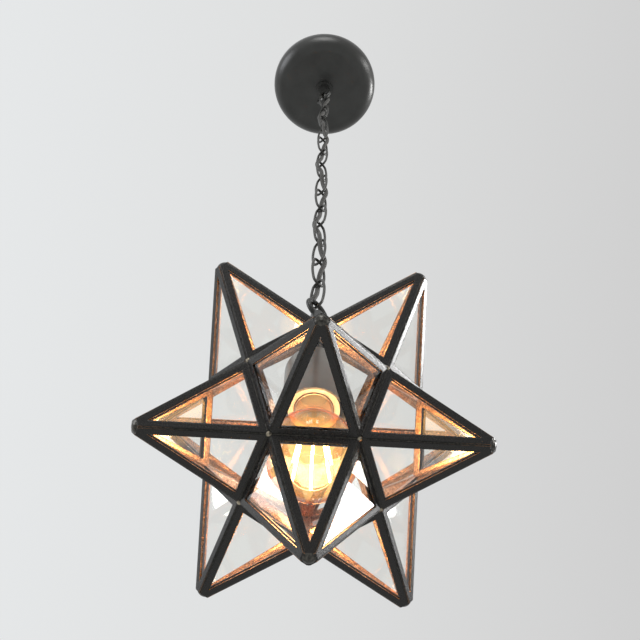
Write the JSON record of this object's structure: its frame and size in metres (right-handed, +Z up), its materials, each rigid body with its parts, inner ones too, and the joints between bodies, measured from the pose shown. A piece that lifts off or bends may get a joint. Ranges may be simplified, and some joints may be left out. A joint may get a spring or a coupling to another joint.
{
  "type": "moravian star pendant",
  "caption": "Glass star pendant: framed clear panes form hollow points round a bulb, with an oval-link chain, woven cord and ceiling canopy; a hinged point gives access.",
  "frame": {"origin": "on the chain's axis in the ceiling plane, midway between the ceiling box screws", "axes": "+Z up, -Y towards the viewer of the picture, +X to the viewer's right"},
  "size_m": [0.2156, 0.2264, 0.9721],
  "materials": {
    "canopy_metal": "dark bronze-black satin paint on spun steel",
    "frame_metal": "near-black patina on folded steel channel",
    "chain_metal": "dark satin paint on steel wire",
    "cast_metal": "dark satin paint on cast metal",
    "cup_metal": "grey-brown satin paint on drawn sheet",
    "solder": "darkened solder",
    "pane_glass": "clear sheet glass",
    "bulb_glass": "clear blown glass",
    "stem_glass": "clear pressed glass",
    "filament": "bright filament rods",
    "wire_metal": "thin support wire",
    "plated_steel": "zinc plated steel",
    "tube_metal": "threaded brass",
    "brass": "thin brass",
    "cap_metal": "rolled aluminium",
    "insulator": "black glass insulator",
    "porcelain": "white glazed porcelain",
    "cord_cover": "smooth dark cord cover",
    "lead_cover": "insulated leads",
    "connector_plastic": "moulded connector"
  },
  "bodies": {
    "ceiling_mount": {"canopy": "canopy_metal", "crossbar": "plated_steel", "ground_screw": "brass", "canopy_tube": "tube_metal", "canopy_lock_nuts": "plated_steel", "canopy_loop": "cast_metal", "supply_leads": "lead_cover", "wire_connectors": "connector_plastic", "lamp_cord": "cord_cover"},
    "link_01": {"chain_link_01": "chain_metal"},
    "link_02": {"chain_link_02": "chain_metal"},
    "link_03": {"chain_link_03": "chain_metal"},
    "link_04": {"chain_link_04": "chain_metal"},
    "link_05": {"chain_link_05": "chain_metal"},
    "link_06": {"chain_link_06": "chain_metal"},
    "link_07": {"chain_link_07": "chain_metal"},
    "link_08": {"chain_link_08": "chain_metal"},
    "link_09": {"chain_link_09": "chain_metal"},
    "link_10": {"chain_link_10": "chain_metal"},
    "link_11": {"chain_link_11": "chain_metal"},
    "link_12": {"chain_link_12": "chain_metal"},
    "link_13": {"chain_link_13": "chain_metal"},
    "link_14": {"chain_link_14": "chain_metal"},
    "star": {"top_cap": "cast_metal", "star_loop": "cast_metal", "stem_tube": "tube_metal", "stem_lock_nuts": "plated_steel", "socket_cup": "cup_metal", "lampholder": "porcelain", "screw_shell": "brass", "centre_contact": "brass", "top_point_frames": "frame_metal", "bottom_point_frames": "frame_metal", "top_point_glass": "pane_glass", "star_glass": "pane_glass", "tip_beads": "solder", "door_hinge_star_tubes": "frame_metal", "door_hinge_pin": "plated_steel", "upper_point_frames_1": "frame_metal", "upper_point_frames_2": "frame_metal", "upper_point_frames_3": "frame_metal", "upper_point_frames_4": "frame_metal", "lower_point_frames_1": "frame_metal", "lower_point_frames_2": "frame_metal", "lower_point_frames_3": "frame_metal", "lower_point_frames_4": "frame_metal", "lower_point_frames_5": "frame_metal"},
    "access_door": {"door_frames": "frame_metal", "door_glass": "pane_glass", "door_tip_bead": "solder", "door_hinge_door_tube": "frame_metal"},
    "bulb": {"bulb_glass": "bulb_glass", "bulb_cap": "cap_metal", "bulb_base": "insulator", "bulb_contact": "cap_metal", "bulb_stem": "stem_glass", "filaments": "filament", "filament_wires": "wire_metal"}
  },
  "joints": [
    {"name": "link_01_swing", "type": "hinge", "parent": "ceiling_mount", "child": "link_01", "pos_m": [0, 0, -0.072], "axis": [0.7071, -0.7071, 0], "range_deg": [-12, 12], "deforming": ["lamp_cord"]},
    {"name": "link_02_swing", "type": "hinge", "parent": "link_01", "child": "link_02", "pos_m": [0, 0, -0.1136], "axis": [0.7071, 0.7071, 0], "range_deg": [-12, 12], "deforming": ["lamp_cord"]},
    {"name": "link_03_swing", "type": "hinge", "parent": "link_02", "child": "link_03", "pos_m": [0, 0, -0.156], "axis": [0.7071, -0.7071, 0], "range_deg": [-12, 12], "deforming": ["lamp_cord"]},
    {"name": "link_04_swing", "type": "hinge", "parent": "link_03", "child": "link_04", "pos_m": [0, 0, -0.1984], "axis": [0.7071, 0.7071, 0], "range_deg": [-12, 12], "deforming": ["lamp_cord"]},
    {"name": "link_05_swing", "type": "hinge", "parent": "link_04", "child": "link_05", "pos_m": [0, 0, -0.2408], "axis": [0.7071, -0.7071, 0], "range_deg": [-12, 12], "deforming": ["lamp_cord"]},
    {"name": "link_06_swing", "type": "hinge", "parent": "link_05", "child": "link_06", "pos_m": [0, 0, -0.2832], "axis": [0.7071, 0.7071, 0], "range_deg": [-12, 12], "deforming": ["lamp_cord"]},
    {"name": "link_07_swing", "type": "hinge", "parent": "link_06", "child": "link_07", "pos_m": [0, 0, -0.3256], "axis": [0.7071, -0.7071, 0], "range_deg": [-12, 12], "deforming": ["lamp_cord"]},
    {"name": "link_08_swing", "type": "hinge", "parent": "link_07", "child": "link_08", "pos_m": [0, 0, -0.368], "axis": [0.7071, 0.7071, 0], "range_deg": [-12, 12], "deforming": ["lamp_cord"]},
    {"name": "link_09_swing", "type": "hinge", "parent": "link_08", "child": "link_09", "pos_m": [0, 0, -0.4104], "axis": [0.7071, -0.7071, 0], "range_deg": [-12, 12], "deforming": ["lamp_cord"]},
    {"name": "link_10_swing", "type": "hinge", "parent": "link_09", "child": "link_10", "pos_m": [0, 0, -0.4528], "axis": [0.7071, 0.7071, 0], "range_deg": [-12, 12], "deforming": ["lamp_cord"]},
    {"name": "link_11_swing", "type": "hinge", "parent": "link_10", "child": "link_11", "pos_m": [0, 0, -0.4952], "axis": [0.7071, -0.7071, 0], "range_deg": [-12, 12], "deforming": ["lamp_cord"]},
    {"name": "link_12_swing", "type": "hinge", "parent": "link_11", "child": "link_12", "pos_m": [0, 0, -0.5376], "axis": [0.7071, 0.7071, 0], "range_deg": [-12, 12], "deforming": ["lamp_cord"]},
    {"name": "link_13_swing", "type": "hinge", "parent": "link_12", "child": "link_13", "pos_m": [0, 0, -0.58], "axis": [0.7071, -0.7071, 0], "range_deg": [-12, 12], "deforming": ["lamp_cord"]},
    {"name": "link_14_swing", "type": "hinge", "parent": "link_13", "child": "link_14", "pos_m": [0, 0, -0.6224], "axis": [0.7071, 0.7071, 0], "range_deg": [-12, 12], "deforming": ["lamp_cord"]},
    {"name": "star_swing", "type": "hinge", "parent": "link_14", "child": "star", "pos_m": [0, 0, -0.6648], "axis": [0.7071, -0.7071, 0], "range_deg": [-12, 12], "deforming": ["lamp_cord"]},
    {"name": "door_hinge", "type": "hinge", "parent": "star", "child": "access_door", "pos_m": [0, 0.03785, -0.7853], "axis": [1, 0, 0], "range_deg": [0, 95]},
    {"name": "bulb_turn", "type": "hinge", "parent": "star", "child": "bulb", "pos_m": [0, 0, -0.80654], "axis": [0, 0, 1], "continuous": true}
  ]
}
